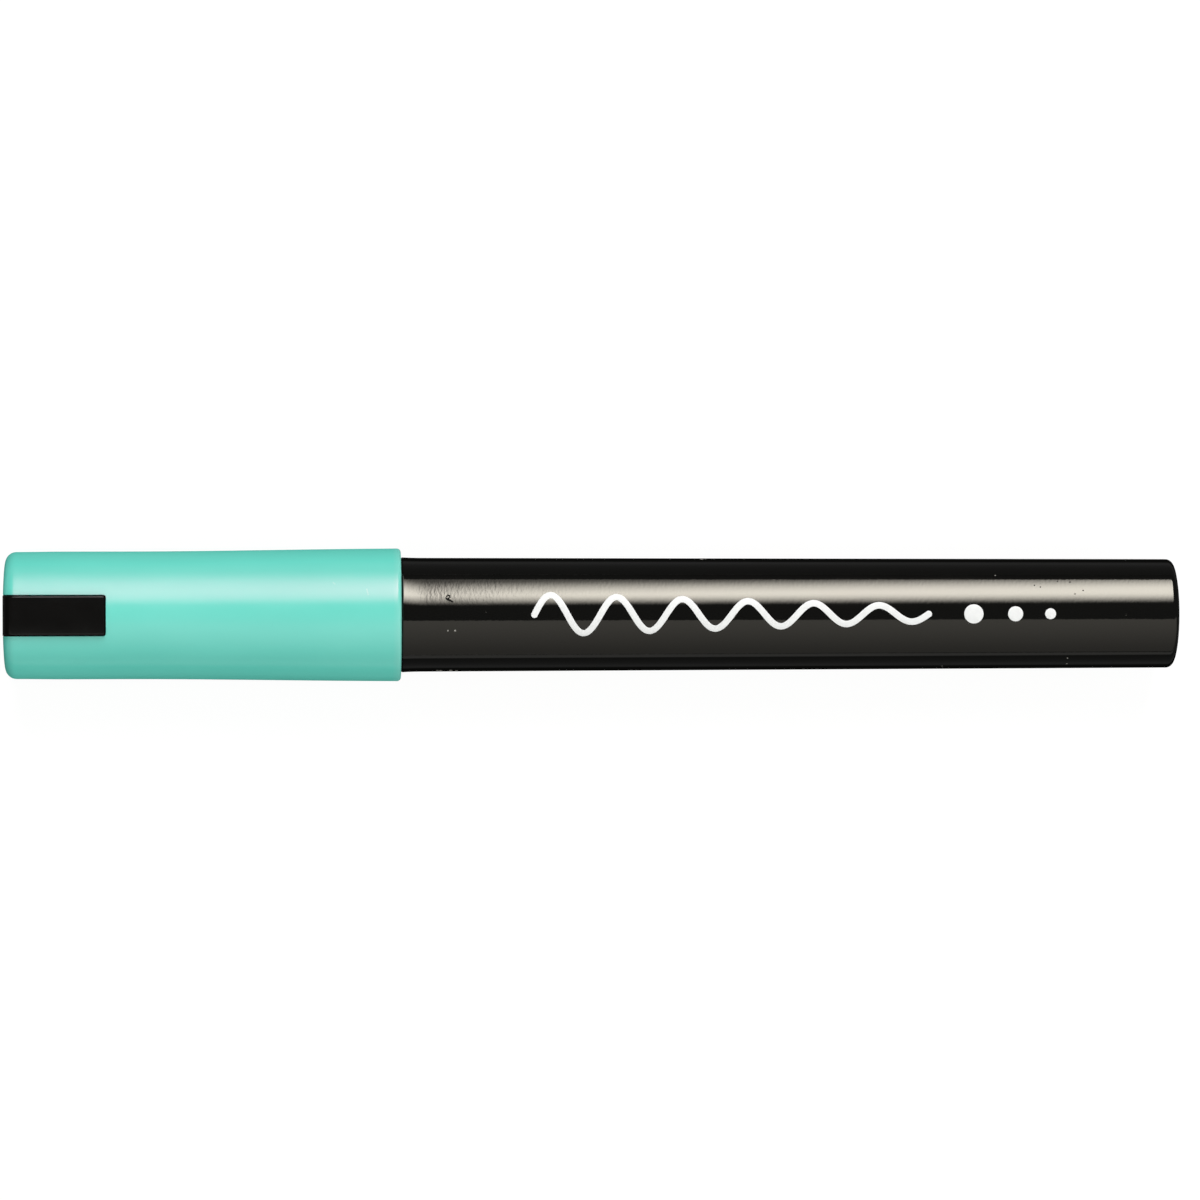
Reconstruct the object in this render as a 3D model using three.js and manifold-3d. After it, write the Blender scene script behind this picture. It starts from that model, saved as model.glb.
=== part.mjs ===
// A round paint marker, 140 mm long, lying along X with its cap towards -X and +Z up.
// The cap is a flared sleeve with a black end insert and a soft inner cap. The barrel is a closed tube that
// holds the paint and a steel mixing ball. Pressing the nib opens a spring-loaded valve in the nib holder.
// Lengths are in millimetres. A station is a distance along the marker from the cap's closed end.

import * as THREE from "three";
import { mergeVertices, toCreasedNormals } from "three/addons/utils/BufferGeometryUtils.js";
import Module from "manifold-3d";

const wasm = await Module();
wasm.setup();

// How finely round shapes are faceted
const wideSides = 48;
const neckSides = 40;
const smallSides = 24;
const filletSteps = 4;
const creaseAngle = 0.6;
const mergeDistance = 1e-4;

// Clearances
const seatGap = 0.1;
const pressGap = 0.08;
const slideGap = 0.15;
const sealGap = 0.05;

// Whole marker
const overallLength = 140;

// Barrel
const barrelBackRadius = 6.55;
const barrelTaper = 0.003;
const barrelWall = 1.15;
const barrelEndWall = 1.6;
const barrelEndFillet = 0.75;
const barrelInnerFillet = 1.2;
const barrelMouthChamfer = 0.3;
const barrelInCap = 9.05;

// Cap shell
const capMouthWall = 0.95;
const capMouthRounding = 0.25;
const capFlare = 0.32;
const capFlareStart = 14;
const capFlareLength = 36;
const capEndFillet = 1.3;
const capEndTaper = 0.045;
const capEndTaperLength = 4.2;
const capSideWall = 1.25;
const capWebThickness = 1.2;
const capStepAhead = 2;
const capStepSlope = 0.5;
const gripRibs = 6;
const gripRibWidth = 0.9;
const gripRibLength = 6.5;
const gripRibInset = 1.6;

// End insert and its tab
const insertThickness = 1.9;
const insertRimWall = 1.7;
const insertEdge = 0.15;
const tabWidth = 4.85;
const tabLength = 12.2;
const tabProud = 0.22;
const tabThickness = 1.4;
const tabSideRounding = 0.4;
const tabTipRounding = 0.3;

// Inner cap
const innerCapFlange = 1;
const innerCapWall = 0.7;
const innerCapDraft = 0.45;
const innerCapMouthChamfer = 0.25;
const nibRoom = 11;

// Nib
const nibRadius = 2.1;
const nibLength = 20.5;
const nibShown = 5;
const nibDomeLength = 3.3;
const nibDomeSteps = 7;
const nibBackChamfer = 0.4;
const nibTravel = 2;

// Nib holder
const noseWall = 0.75;
const noseLength = 9;
const noseTaper = 0.5;
const noseEdge = 0.3;
const sealBeadHeight = 0.3;
const sealBeadWidth = 1.2;
const sealBeadBack = 2.6;
const shoulderChamfer = 0.4;
const neckLength = 8.5;
const neckTaper = 0.6;
const collarThickness = 1.4;
const collarStep = 0.85;
const collarInset = 0.35;
const collarEdge = 0.25;
const plugChamfer = 0.6;
const feedGrooves = 4;
const feedGrooveWidth = 0.7;
const feedGrooveDepth = 0.4;

// Valve
const valveSeatThickness = 1.2;
const valveSeatClearance = 0.5;
const valveHoleRadius = 1.35;
const valveBoreWall = 1.65;
const valveRoom = 8.7;
const stemPinRadius = 1;
const sealWireRadius = 0.4;
const stemHeadRadius = 2.3;
const stemHeadThickness = 1.2;
const stemTailRadius = 0.8;
const stemTailPast = 0.7;
const stemEdge = 0.2;
const springWireRadius = 0.25;
const springCoilRadius = 1.6;
const springTurns = 8;
const springStepsPerTurn = 8;
const springWireSides = 5;
const cageWall = 0.65;
const cagePlugDepth = 3.5;
const cageFlangeThickness = 1;
const cageFlangeInset = 0.5;
const cageCupLength = 4.6;
const cageEndWall = 1;
const cageWindows = 4;
const cageWindowWidth = 1.8;
const cageWindowLength = 2.4;

// Mixing ball
const ballRadius = 3;
const ballFloorGap = 0.12;
const ballEndGap = 0.5;
const ballWidthSegments = 24;
const ballHeightSegments = 16;

// Stations that follow from the sizes above, from the closed end of the cap to the closed end of the barrel
const innerCapFloor = insertThickness + seatGap + innerCapFlange;
const nibTip = innerCapFloor + nibRoom;
const nibBack = nibTip + nibLength;
const noseTip = nibTip + nibShown;
const shoulder = noseTip + noseLength;
const innerCapMouth = shoulder - seatGap;
const collarFront = shoulder + neckLength;
const barrelMouth = collarFront + collarThickness + seatGap;
const capLength = barrelMouth + barrelInCap;
const barrelFloor = overallLength - barrelEndWall;

// Radii that follow, of the barrel, the cap and the nib holder
const barrelRadiusAt = (station) => barrelBackRadius + barrelTaper * (overallLength - station);
const barrelBoreAt = (station) => barrelRadiusAt(station) - barrelWall;

const capMouthBore = barrelRadiusAt(barrelMouth) + slideGap;
const capMouthRadius = capMouthBore + capMouthWall;
const capEndRadius = capMouthRadius - capFlare;
const capBore = capEndRadius - capSideWall;

const nibBore = nibRadius + slideGap;
const noseTipRadius = nibBore + noseWall;
const noseBackRadius = noseTipRadius + noseTaper;
const sealBeadRadius = noseBackRadius + sealBeadHeight;
const collarRadius = barrelRadiusAt(barrelMouth) - collarInset;
const neckBackRadius = collarRadius - collarStep;
const neckFrontRadius = neckBackRadius - neckTaper;

const innerCapMouthBore = sealBeadRadius + sealGap;
const innerCapFloorBore = innerCapMouthBore - innerCapDraft;
const capWebHole = innerCapMouthBore + innerCapWall + slideGap;
const capSocketRadius = capEndRadius - insertRimWall;
const insertRadius = capSocketRadius - slideGap;

// The valve, whose seat lies against a step in the nib holder's bore
const seatStep = nibBack + nibTravel + valveSeatClearance;
const seatFront = seatStep + seatGap;
const seatBack = seatFront + valveSeatThickness;
const plugBack = seatBack + valveRoom;
const plugRadius = barrelBoreAt(plugBack) - pressGap;
const valveBore = plugRadius - valveBoreWall;
const sealCentre = seatBack + seatGap + sealWireRadius;
const sealRingRadius = stemPinRadius + seatGap + sealWireRadius;
const headFront = sealCentre + sealWireRadius + sealGap;
const headBack = headFront + stemHeadThickness;
const cageFront = plugBack - cagePlugDepth;
const cageFlangeBack = plugBack + seatGap + cageFlangeThickness;
const cageEnd = cageFlangeBack + cageCupLength;
const cageFloor = cageEnd - cageEndWall;
const cageRadius = valveBore - pressGap;
const cageBore = cageRadius - cageWall;
const cageFlangeRadius = plugRadius - plugChamfer - cageFlangeInset;
const stemEnd = cageEnd + stemTailPast;

// Height of the marker's axis: the cap's widest ring, turned with a flat side down, rests at Z = 0
const flatSide = Math.cos(Math.PI / wideSides);
const axisHeight = capMouthRadius * flatSide;

// A station as an X coordinate: X = 0 is halfway along the marker
const along = (station) => station - overallLength / 2;

// Points of a circular fillet in [station, radius] form; angles are in degrees from the +station direction
function fillet(station, radius, size, fromAngle, toAngle) {
  return Array.from({ length: filletSteps + 1 }, (_, step) => {
    const angle = THREE.MathUtils.degToRad(THREE.MathUtils.lerp(fromAngle, toAngle, step / filletSteps));
    return [station + size * Math.cos(angle), radius + size * Math.sin(angle)];
  });
}

// A solid of revolution about the marker's axis. The outline runs along the outside towards +X and, on a hollow
// piece, back through the bore, where it closes on itself.
function turned(outline, sides) {
  const points = outline.map(([station, radius]) => new THREE.Vector2(radius, along(station)));
  const startAngle = Math.PI / sides;
  return new THREE.LatheGeometry(points, sides, startAngle, 2 * Math.PI).rotateZ(-Math.PI / 2);
}

const closed = (outline) => [...outline, outline[0]];

// A box between two stations, by width in Y and by height in Z above the axis
function block(fromStation, toStation, width, fromHeight, toHeight) {
  const box = new THREE.BoxGeometry(toStation - fromStation, width, toHeight - fromHeight);
  return box.translate(along((fromStation + toStation) / 2), 0, (fromHeight + toHeight) / 2);
}

// A closed mesh as a solid that can be cut and joined, and back
function solid(geometry) {
  const bare = new THREE.BufferGeometry().setAttribute("position", geometry.getAttribute("position"));
  bare.setIndex(geometry.index);
  const merged = mergeVertices(bare, mergeDistance);
  const mesh = new wasm.Mesh({
    numProp: 3,
    vertProperties: merged.getAttribute("position").array,
    triVerts: new Uint32Array(merged.index.array),
  });
  return new wasm.Manifold(mesh);
}

function geometryOf(manifold) {
  const mesh = manifold.getMesh();
  const geometry = new THREE.BufferGeometry();
  geometry.setAttribute("position", new THREE.BufferAttribute(mesh.vertProperties, 3));
  geometry.setIndex(new THREE.BufferAttribute(mesh.triVerts, 1));
  return geometry;
}

// Copies of a cutter spaced evenly about the axis
function around(geometry, count, startAngle = 0) {
  return Array.from({ length: count }, (_, i) => {
    return solid(geometry.clone().rotateX(startAngle + (2 * Math.PI * i) / count));
  });
}

function cutAway(body, cutters) {
  return cutters.reduce((left, cutter) => left.subtract(cutter), body);
}

// Black glossy tube, closed and rounded at the back, that holds the paint
function barrelShape() {
  const backCorner = overallLength - barrelEndFillet;
  const backRadius = barrelRadiusAt(backCorner);
  const floorCorner = barrelFloor - barrelInnerFillet;
  const floorRadius = barrelBoreAt(floorCorner);
  return turned(
    [
      [barrelMouth, barrelRadiusAt(barrelMouth) - barrelMouthChamfer],
      [barrelMouth + barrelMouthChamfer, barrelRadiusAt(barrelMouth + barrelMouthChamfer)],
      ...fillet(backCorner, backRadius - barrelEndFillet, barrelEndFillet, 90, 0),
      [overallLength, 0],
      [barrelFloor, 0],
      ...fillet(floorCorner, floorRadius - barrelInnerFillet, barrelInnerFillet, 0, 90),
      [barrelMouth, barrelBoreAt(barrelMouth)],
      [barrelMouth, barrelRadiusAt(barrelMouth) - barrelMouthChamfer],
    ],
    wideSides,
  );
}

// Outer radius of the cap: almost straight by the closed end, then a gentle flare to the mouth
function capRadiusAt(station) {
  const flare = THREE.MathUtils.smoothstep(station, capFlareStart, capFlareStart + capFlareLength);
  const full = THREE.MathUtils.smoothstep(capLength, capFlareStart, capFlareStart + capFlareLength);
  const taperEnd = capEndFillet + capEndTaperLength;
  const taper = capEndTaper * (1 - THREE.MathUtils.smoothstep(station, capEndFillet, taperEnd));
  return capEndRadius - taper + (capFlare * flare) / full;
}

// Coloured sleeve with a socket for the insert, a web that holds the inner cap and ribs that grip the barrel
function capShellShape() {
  const webStart = innerCapFloor + sealGap;
  const webEnd = webStart + capWebThickness;
  const stepStart = collarFront - capStepAhead;
  const cornerRadius = capRadiusAt(capEndFillet) - capEndFillet;
  const mouthCorner = capLength - capMouthRounding;
  const flareStations = [];
  const flareSteps = 9;
  for (let i = 0; i <= flareSteps; i += 1) {
    flareStations.push(THREE.MathUtils.lerp(capFlareStart, mouthCorner, i / flareSteps));
  }
  flareStations.pop();
  const shell = solid(
    turned(
      closed([
        [0, capSocketRadius],
        ...fillet(capEndFillet, cornerRadius, capEndFillet, 180, 90),
        [capEndFillet + capEndTaperLength, capRadiusAt(capEndFillet + capEndTaperLength)],
        ...flareStations.map((station) => [station, capRadiusAt(station)]),
        ...fillet(mouthCorner, capRadiusAt(mouthCorner) - capMouthRounding, capMouthRounding, 90, 0),
        [capLength, capMouthBore + capMouthRounding],
        [mouthCorner, capMouthBore],
        [stepStart + capStepSlope, capMouthBore],
        [stepStart, capBore + slideGap],
        [webEnd, capBore],
        [webEnd, capWebHole],
        [webStart, capWebHole],
        [webStart, capSocketRadius],
      ]),
      wideSides,
    ),
  );
  const slotWall = block(
    -seatGap,
    tabLength + slideGap,
    tabWidth + 2 * slideGap,
    capBore - seatGap,
    capMouthRadius,
  );
  const slotRim = block(-seatGap, webStart, tabWidth + 2 * slideGap, capSocketRadius / 2, capMouthRadius);
  const ribTip = capMouthBore - slideGap + sealGap;
  const ribStart = capLength - gripRibInset - gripRibLength;
  const rib = block(ribStart, ribStart + gripRibLength, gripRibWidth, ribTip, capMouthBore + capMouthWall / 2);
  let grown = shell.subtract(solid(slotWall)).subtract(solid(slotRim));
  for (const ribSolid of around(rib, gripRibs, Math.PI / gripRibs)) {
    grown = grown.add(ribSolid);
  }
  return geometryOf(grown);
}

// Black disc that closes the cap's end, with a tab that lies in the sleeve's slot
function capInsertShape() {
  const disc = solid(
    turned(
      [
        [0, 0],
        [0, insertRadius - insertEdge],
        [insertEdge, insertRadius],
        [insertThickness, insertRadius],
        [insertThickness, 0],
      ],
      neckSides,
    ),
  );
  const tabTop = capEndRadius + tabProud;
  const tabFloor = tabTop - tabThickness;
  const halfWidth = tabWidth / 2;
  const section = new THREE.Shape();
  section.moveTo(-halfWidth, 0);
  section.lineTo(halfWidth, 0);
  section.lineTo(halfWidth, tabTop - tabSideRounding);
  section.absarc(halfWidth - tabSideRounding, tabTop - tabSideRounding, tabSideRounding, 0, Math.PI / 2);
  section.absarc(tabSideRounding - halfWidth, tabTop - tabSideRounding, tabSideRounding, Math.PI / 2, Math.PI);
  section.closePath();
  const across = new THREE.ExtrudeGeometry(section, {
    depth: tabLength,
    bevelEnabled: false,
    curveSegments: filletSteps,
  });
  across.rotateY(Math.PI / 2).rotateX(Math.PI / 2).translate(along(0), 0, 0);

  const profile = new THREE.Shape();
  const footDepth = insertRadius - tabWidth / 2;
  profile.moveTo(along(0), footDepth);
  profile.lineTo(along(insertThickness), footDepth);
  profile.lineTo(along(insertThickness), tabFloor);
  profile.lineTo(along(tabLength), tabFloor);
  profile.lineTo(along(tabLength), tabTop - tabTipRounding);
  profile.absarc(along(tabLength - tabTipRounding), tabTop - tabTipRounding, tabTipRounding, 0, Math.PI / 2);
  profile.absarc(along(capEndFillet), tabTop - capEndFillet, capEndFillet, Math.PI / 2, Math.PI);
  profile.closePath();
  const lengthwise = new THREE.ExtrudeGeometry(profile, {
    depth: tabWidth * 2,
    bevelEnabled: false,
    curveSegments: filletSteps,
  });
  lengthwise.translate(0, 0, -tabWidth).rotateX(Math.PI / 2);
  const tab = solid(across).intersect(solid(lengthwise));
  return geometryOf(disc.add(tab));
}

// Soft cup that closes over the nib and seals on the nose's bead
function innerCapShape() {
  return turned(
    [
      [innerCapFloor - innerCapFlange, 0],
      [innerCapFloor - innerCapFlange, insertRadius],
      [innerCapFloor, insertRadius],
      [innerCapFloor, innerCapFloorBore + innerCapWall],
      [innerCapMouth, innerCapMouthBore + innerCapWall],
      [innerCapMouth, innerCapMouthBore + innerCapMouthChamfer],
      [innerCapMouth - innerCapMouthChamfer, innerCapMouthBore],
      [innerCapFloor, innerCapFloorBore],
      [innerCapFloor, 0],
    ],
    neckSides,
  );
}

// Porous bullet nib that slides in the nose
function nibShape() {
  const dome = Array.from({ length: nibDomeSteps }, (_, step) => {
    const angle = (step / nibDomeSteps) * (Math.PI / 2);
    return [nibTip + nibDomeLength * (1 - Math.cos(angle)), nibRadius * Math.sin(angle)];
  });
  return turned(
    [
      ...dome,
      [nibTip + nibDomeLength, nibRadius],
      [nibBack - nibBackChamfer, nibRadius],
      [nibBack, nibRadius - nibBackChamfer],
      [nibBack, 0],
    ],
    neckSides,
  );
}

// Nose, neck, collar and plug in one moulding, with the nib's bore and, past a step, the valve's bore
function nibHolderShape() {
  const beadMiddle = shoulder - sealBeadBack;
  const noseRadiusAt = (station) => {
    return THREE.MathUtils.lerp(noseTipRadius, noseBackRadius, (station - noseTip) / noseLength);
  };
  const beadFront = beadMiddle - sealBeadWidth / 2;
  const beadBack = beadMiddle + sealBeadWidth / 2;
  const holder = solid(
    turned(
      closed([
        [noseTip, nibBore],
        [noseTip, noseTipRadius - noseEdge],
        [noseTip + noseEdge, noseRadiusAt(noseTip + noseEdge)],
        [beadFront, noseRadiusAt(beadFront)],
        [beadMiddle - sealBeadWidth / 4, sealBeadRadius],
        [beadMiddle + sealBeadWidth / 4, sealBeadRadius],
        [beadBack, noseRadiusAt(beadBack)],
        [shoulder, noseBackRadius],
        [shoulder, neckFrontRadius - shoulderChamfer],
        [shoulder + shoulderChamfer, neckFrontRadius],
        [collarFront - collarEdge, neckBackRadius],
        [collarFront, neckBackRadius],
        [collarFront, collarRadius - collarEdge],
        [collarFront + collarEdge, collarRadius],
        [barrelMouth - seatGap, collarRadius],
        [barrelMouth - seatGap, plugRadius],
        [plugBack - plugChamfer, plugRadius],
        [plugBack, plugRadius - plugChamfer],
        [plugBack, valveBore],
        [seatStep, valveBore],
        [seatStep, nibBore],
      ]),
      neckSides,
    ),
  );
  const groove = block(
    noseTip - seatGap,
    seatStep - feedGrooveWidth,
    feedGrooveWidth,
    nibRadius / 2,
    nibBore + feedGrooveDepth,
  );
  return geometryOf(cutAway(holder, around(groove, feedGrooves, Math.PI / feedGrooves)));
}

// Ring pressed into the valve's bore against its step, that the stem's seal closes on
function valveSeatShape() {
  const seatRadius = valveBore - pressGap;
  return turned(
    closed([
      [seatFront, valveHoleRadius],
      [seatFront, seatRadius - stemEdge],
      [seatFront + stemEdge, seatRadius],
      [seatBack, seatRadius],
      [seatBack, valveHoleRadius + stemEdge],
      [seatBack - stemEdge, valveHoleRadius],
    ]),
    neckSides,
  );
}

// Rod that the nib pushes back: pin, sealing head and tail
function valveStemShape() {
  return turned(
    [
      [nibBack + seatGap, 0],
      [nibBack + seatGap, stemPinRadius - stemEdge],
      [nibBack + seatGap + stemEdge, stemPinRadius],
      [headFront, stemPinRadius],
      [headFront, stemHeadRadius - stemEdge],
      [headFront + stemEdge, stemHeadRadius],
      [headBack, stemHeadRadius],
      [headBack, stemTailRadius],
      [stemEnd - stemEdge, stemTailRadius],
      [stemEnd, stemTailRadius - stemEdge],
      [stemEnd, 0],
    ],
    smallSides,
  );
}

// Rubber ring on the stem that closes the seat
function stemSealShape() {
  const ring = [];
  const ringSteps = 8;
  for (let i = 0; i < ringSteps; i += 1) {
    const angle = Math.PI - (2 * Math.PI * i) / ringSteps;
    const station = sealCentre + sealWireRadius * Math.cos(angle);
    ring.push([station, sealRingRadius + sealWireRadius * Math.sin(angle)]);
  }
  return turned(closed(ring), smallSides);
}

// Coil spring between the stem's head and the cage's floor, as one closed tube of wire
function valveSpringShape() {
  const start = headBack + seatGap + springWireRadius;
  const end = cageFloor - seatGap - springWireRadius;
  const steps = springTurns * springStepsPerTurn;
  const positions = [];
  const triangles = [];
  const rise = (end - start) / (2 * Math.PI * springTurns);
  for (let step = 0; step <= steps; step += 1) {
    const angle = (2 * Math.PI * step) / springStepsPerTurn;
    const outward = new THREE.Vector3(0, Math.cos(angle), Math.sin(angle));
    const centre = outward.clone().multiplyScalar(springCoilRadius);
    centre.x = along(start) + rise * angle;
    const tangent = new THREE.Vector3(0, -Math.sin(angle), Math.cos(angle)).multiplyScalar(springCoilRadius);
    tangent.x = rise;
    const sideways = new THREE.Vector3().crossVectors(tangent.normalize(), outward);
    for (let side = 0; side < springWireSides; side += 1) {
      const turn = (2 * Math.PI * side) / springWireSides;
      const point = centre.clone();
      point.addScaledVector(outward, springWireRadius * Math.cos(turn));
      point.addScaledVector(sideways, springWireRadius * Math.sin(turn));
      positions.push(point.x, point.y, point.z);
    }
  }
  for (let step = 0; step < steps; step += 1) {
    for (let side = 0; side < springWireSides; side += 1) {
      const next = (side + 1) % springWireSides;
      const near = step * springWireSides;
      const far = near + springWireSides;
      triangles.push(near + side, near + next, far + next, near + side, far + next, far + side);
    }
  }
  const last = steps * springWireSides;
  for (let side = 1; side < springWireSides - 1; side += 1) {
    triangles.push(0, side + 1, side, last, last + side, last + side + 1);
  }
  const geometry = new THREE.BufferGeometry();
  geometry.setAttribute("position", new THREE.Float32BufferAttribute(positions, 3));
  geometry.setIndex(triangles);
  console.log(`valve_spring: least gap between turns ${leastGap(geometry).toFixed(2)} mm`);
  return geometry;
}

// Least distance between points of the spring's wire that are at least half a turn apart
function leastGap(geometry) {
  const position = geometry.getAttribute("position");
  const apart = (springStepsPerTurn / 2) * springWireSides;
  const here = new THREE.Vector3();
  const there = new THREE.Vector3();
  let least = Infinity;
  for (let i = 0; i < position.count; i += 1) {
    here.fromBufferAttribute(position, i);
    for (let j = i + apart; j < position.count; j += 1) {
      there.fromBufferAttribute(position, j);
      least = Math.min(least, here.distanceTo(there));
    }
  }
  return least;
}

// Cup that snaps into the plug, holds the spring and lets paint in through its windows
function springCageShape() {
  const guideRadius = stemTailRadius + slideGap;
  const cup = solid(
    turned(
      closed([
        [cageFront, cageBore],
        [cageFront, cageRadius],
        [plugBack + seatGap, cageRadius],
        [plugBack + seatGap, cageFlangeRadius],
        [cageFlangeBack, cageFlangeRadius],
        [cageFlangeBack, cageRadius],
        [cageEnd - stemEdge, cageRadius],
        [cageEnd, cageRadius - stemEdge],
        [cageEnd, guideRadius],
        [cageFloor, guideRadius],
        [cageFloor, cageBore],
      ]),
      neckSides,
    ),
  );
  const windowEnd = cageFloor - seatGap;
  const cutter = block(
    windowEnd - cageWindowLength,
    windowEnd,
    cageWindowWidth,
    (stemTailRadius + cageBore) / 2,
    plugRadius,
  );
  return geometryOf(cutAway(cup, around(cutter, cageWindows, Math.PI / cageWindows)));
}

// Steel ball that rolls along the bottom of the barrel's bore and stirs the paint
function mixingBallShape() {
  const station = barrelFloor - ballEndGap - ballRadius;
  const drop = barrelBoreAt(barrelFloor) * flatSide - ballRadius - ballFloorGap;
  const ball = new THREE.SphereGeometry(ballRadius, ballWidthSegments, ballHeightSegments);
  return ball.translate(along(station), 0, -drop);
}

// Finishes
const capColour = new THREE.MeshStandardMaterial({ color: 0x66d2c0, roughness: 0.38 });
const glossBlack = new THREE.MeshStandardMaterial({ color: 0x121211, roughness: 0.14 });
const satinBlack = new THREE.MeshStandardMaterial({ color: 0x161514, roughness: 0.35 });
const naturalWhite = new THREE.MeshStandardMaterial({ color: 0xe6e8e4, roughness: 0.45 });
const nibFibre = new THREE.MeshStandardMaterial({ color: 0x7fd6c8, roughness: 0.9 });
const valveWhite = new THREE.MeshStandardMaterial({ color: 0xf0efe9, roughness: 0.4 });
const sealRubber = new THREE.MeshStandardMaterial({ color: 0x2a2a2a, roughness: 0.7 });
const steel = new THREE.MeshStandardMaterial({ color: 0xc4c6c8, roughness: 0.2, metalness: 1 });

const marker = new THREE.Group();
marker.position.z = axisHeight;

function addPiece(name, geometry, material) {
  const mesh = new THREE.Mesh(toCreasedNormals(geometry, creaseAngle), material);
  mesh.name = name;
  marker.add(mesh);
}

addPiece("barrel", barrelShape(), glossBlack);
addPiece("cap_shell", capShellShape(), capColour);
addPiece("cap_insert", capInsertShape(), satinBlack);
addPiece("inner_cap", innerCapShape(), naturalWhite);
addPiece("nib", nibShape(), nibFibre);
addPiece("nib_holder", nibHolderShape(), satinBlack);
addPiece("valve_seat", valveSeatShape(), valveWhite);
addPiece("valve_stem", valveStemShape(), valveWhite);
addPiece("stem_seal", stemSealShape(), sealRubber);
addPiece("valve_spring", valveSpringShape(), steel);
addPiece("spring_cage", springCageShape(), valveWhite);
addPiece("mixing_ball", mixingBallShape(), steel);

export default marker;
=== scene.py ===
import math

import bmesh
import bpy
from mathutils import Matrix, Vector


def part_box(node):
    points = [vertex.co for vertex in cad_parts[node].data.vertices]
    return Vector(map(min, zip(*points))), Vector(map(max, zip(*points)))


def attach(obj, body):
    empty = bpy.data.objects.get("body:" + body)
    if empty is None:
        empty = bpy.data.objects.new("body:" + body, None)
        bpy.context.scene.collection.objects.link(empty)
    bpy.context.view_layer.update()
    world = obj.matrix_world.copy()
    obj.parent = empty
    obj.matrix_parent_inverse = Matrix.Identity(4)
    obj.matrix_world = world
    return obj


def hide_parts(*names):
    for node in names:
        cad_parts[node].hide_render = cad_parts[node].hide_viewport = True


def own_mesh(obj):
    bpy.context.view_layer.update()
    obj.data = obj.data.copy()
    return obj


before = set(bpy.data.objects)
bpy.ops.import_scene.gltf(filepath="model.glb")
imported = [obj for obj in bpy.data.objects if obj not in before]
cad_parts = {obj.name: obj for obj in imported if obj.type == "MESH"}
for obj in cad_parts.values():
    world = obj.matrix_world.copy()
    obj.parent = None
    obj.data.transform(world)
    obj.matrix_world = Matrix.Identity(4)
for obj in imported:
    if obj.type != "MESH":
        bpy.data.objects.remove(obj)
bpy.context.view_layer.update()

# Marker as a whole
# It lies along X with its cap towards -X and the cap's black bar on top. A station is a distance in
# millimetres along the marker from the closed end of the cap, and a radius is measured from its axis.
mm = 0.001
cap_low, cap_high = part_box("cap_shell")
axis_height = (cap_low.z + cap_high.z) / 2


def along(station):
    return cap_low.x + station * mm


def station_of(x):
    return (x - cap_low.x) / mm


# Camera
# It hangs over the cap, 636 mm above the marker's axis, and is turned a little towards the barrel, so
# that the whole marker fills the frame.
camera_height = 636
camera_station = 37
aimed_station = 70.95
camera_aside = 1.79
camera_roll = -0.1
sensor_width = 36
view_width_per_distance = 0.22596
nearest_seen = 0.01
farthest_seen = 20
camera = bpy.data.objects.new("camera", bpy.data.cameras.new("camera"))
camera.data.sensor_width = sensor_width
camera.data.lens = sensor_width / view_width_per_distance
camera.data.clip_start = nearest_seen
camera.data.clip_end = farthest_seen
camera_turn = math.atan((aimed_station - camera_station) / camera_height)
camera.location = (along(camera_station), camera_aside * mm, axis_height + camera_height * mm)
camera.rotation_euler = (0, -camera_turn, math.radians(camera_roll))
bpy.context.scene.collection.objects.link(camera)
bpy.context.scene.camera = camera
bpy.context.scene.view_settings.view_transform = "Standard"


# Barrel
# One injection-moulded tube of glossy black plastic, closed and lightly rounded at the back, that holds
# the paint. It narrows a little towards the back, and a very low shoulder lies behind the cap's mouth.
barrel_low, barrel_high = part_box("barrel")
barrel_mouth = station_of(barrel_low.x)
barrel_end = station_of(barrel_high.x)
barrel_mouth_radius = (barrel_high.y - barrel_low.y) / 2 / mm
barrel_taper = 0.003
barrel_wall = 1.15
barrel_end_wall = 1.6
barrel_end_rounding = 0.78
barrel_floor_rounding = 1.2
barrel_lip_rounding = 0.3
shoulder_height = 0.06
shoulder_start = 47.12
shoulder_crest = 47.24
shoulder_fade_length = 3.3
shoulder_fade_steps = 24
gate_dimple_radius = 1.1
gate_dimple_depth = 0.12
gate_dimple_rounding = 0.05
round_sides = 192
arc_step = math.radians(9)
hold_distance = 0.12
shortest_held_run = 6 * hold_distance
weld_distance = 0.0002
sharp_angle = math.radians(32)

# Small marks on the barrel, each (station, degrees from the top towards +Y, radius)
barrel_dust = (
    (52.55, -16, 0.11),
    (53.4, -16, 0.14),
    (51.4, -78, 0.2),
    (51.8, -79, 0.22),
    (53, -78, 0.26),
    (53.7, -79, 0.2),
    (83.1, 80, 0.3),
    (83.6, 82, 0.2),
    (118, 44, 0.09),
    (126.8, -54, 0.11),
    (126.9, -66, 0.12),
    (111.9, -71, 0.1),
)
barrel_wrinkle = (
    (52.34, 17.1, 0.1),
    (52.42, 19, 0.1),
    (52.59, 20, 0.1),
    (52.75, 19.5, 0.1),
    (52.79, 18, 0.1),
    (52.64, 16.6, 0.1),
    (52.46, 15.9, 0.12),
    (52.64, 15, 0.15),
    (52.81, 14.4, 0.15),
    (52.99, 13.6, 0.13),
    (53.11, 13.1, 0.1),
)
barrel_pits = (
    (57.05, 3, 0.1),
    (122.6, 31, 0.09),
    (123.3, 29, 0.08),
    (125.4, 36, 0.08),
    (126.9, 35, 0.1),
    (127.4, 21, 0.08),
    (128.4, 25, 0.09),
    (133.5, -1, 0.1),
)


def barrel_radius(station):
    return barrel_mouth_radius - barrel_taper * (station - barrel_mouth)


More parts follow.
